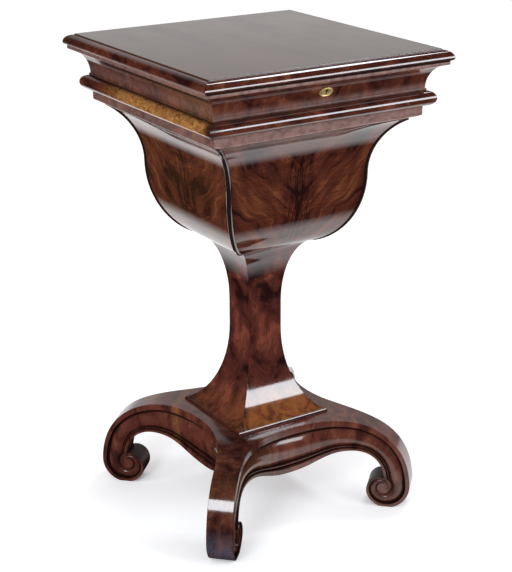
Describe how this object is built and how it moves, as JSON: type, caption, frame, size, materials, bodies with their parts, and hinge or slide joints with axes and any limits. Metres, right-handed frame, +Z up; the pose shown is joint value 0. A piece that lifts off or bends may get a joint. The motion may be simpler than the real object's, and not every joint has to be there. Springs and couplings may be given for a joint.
{
  "type": "work table",
  "caption": "Mahogany work table with a hinged square lid, cavetto frieze, ogee body, flared column and scroll legs; a sliding till and a lock inside.",
  "frame": {"origin": "on the floor, under the middle of the table", "axes": "+Z up; -Y towards the front, the side with the keyhole; +X to the right of someone facing the front"},
  "size_m": [0.4296, 0.4296, 0.7599],
  "materials": {
    "mahogany": "French polish, high gloss",
    "figured_mahogany": "figured veneer, French polish, high gloss",
    "ebonised": "blackened and polished",
    "pine": "planed, unpolished",
    "birch": "waxed",
    "brass": "aged, lightly polished",
    "lock_steel": "filed iron, slightly dark"
  },
  "bodies": {
    "table": {"base_block": "mahogany", "leg_front_left": "mahogany", "leg_front_right": "mahogany", "leg_back_left": "mahogany", "leg_back_right": "mahogany", "column": "figured_mahogany", "foot_strip_front": "mahogany", "foot_strip_back": "mahogany", "foot_strip_left": "mahogany", "foot_strip_right": "mahogany", "column_head_block": "pine", "body_floor": "pine", "body_panel_front": "figured_mahogany", "body_panel_back": "figured_mahogany", "body_panel_left": "figured_mahogany", "body_panel_right": "figured_mahogany", "corner_bead_front_left": "ebonised", "corner_bead_front_right": "ebonised", "corner_bead_back_left": "ebonised", "corner_bead_back_right": "ebonised", "bullnose_front": "figured_mahogany", "bullnose_back": "figured_mahogany", "bullnose_left": "figured_mahogany", "bullnose_right": "figured_mahogany", "frieze_front": "figured_mahogany", "frieze_back": "figured_mahogany", "frieze_left": "figured_mahogany", "frieze_right": "figured_mahogany", "ledger_left": "birch", "ledger_right": "birch", "lock_case": "lock_steel", "lock_selvedge": "brass", "escutcheon": "brass", "hinge_case_leaf_left": "brass", "hinge_case_leaf_right": "brass", "hinge_pin_left": "brass", "hinge_pin_right": "brass"},
    "lid": {"lid_board": "figured_mahogany", "lid_moulding_front": "mahogany", "lid_moulding_back": "mahogany", "lid_moulding_left": "mahogany", "lid_moulding_right": "mahogany", "hinge_lid_leaf_left": "brass", "hinge_lid_leaf_right": "brass", "strike_plate": "brass"},
    "till": {"till_floor": "birch", "till_front": "birch", "till_back": "birch", "till_left": "birch", "till_right": "birch", "till_long_divider": "birch", "till_front_divider_1": "birch", "till_front_divider_2": "birch", "till_front_divider_3": "birch", "till_back_divider_1": "birch"},
    "bolt": {"lock_bolt": "lock_steel"}
  },
  "joints": [
    {"name": "lid_hinge", "type": "hinge", "parent": "table", "child": "lid", "pos_m": [0, 0.2121, 0.7424], "axis": [-1, 0, 0], "range_deg": [0, 95]},
    {"name": "till_slide", "type": "slide", "parent": "table", "child": "till", "axis": [0, -1, 0], "range_m": [0, 0.17]},
    {"name": "lock_bolt_slide", "type": "slide", "parent": "table", "child": "bolt", "axis": [1, 0, 0], "range_m": [0, 0.006]}
  ]
}
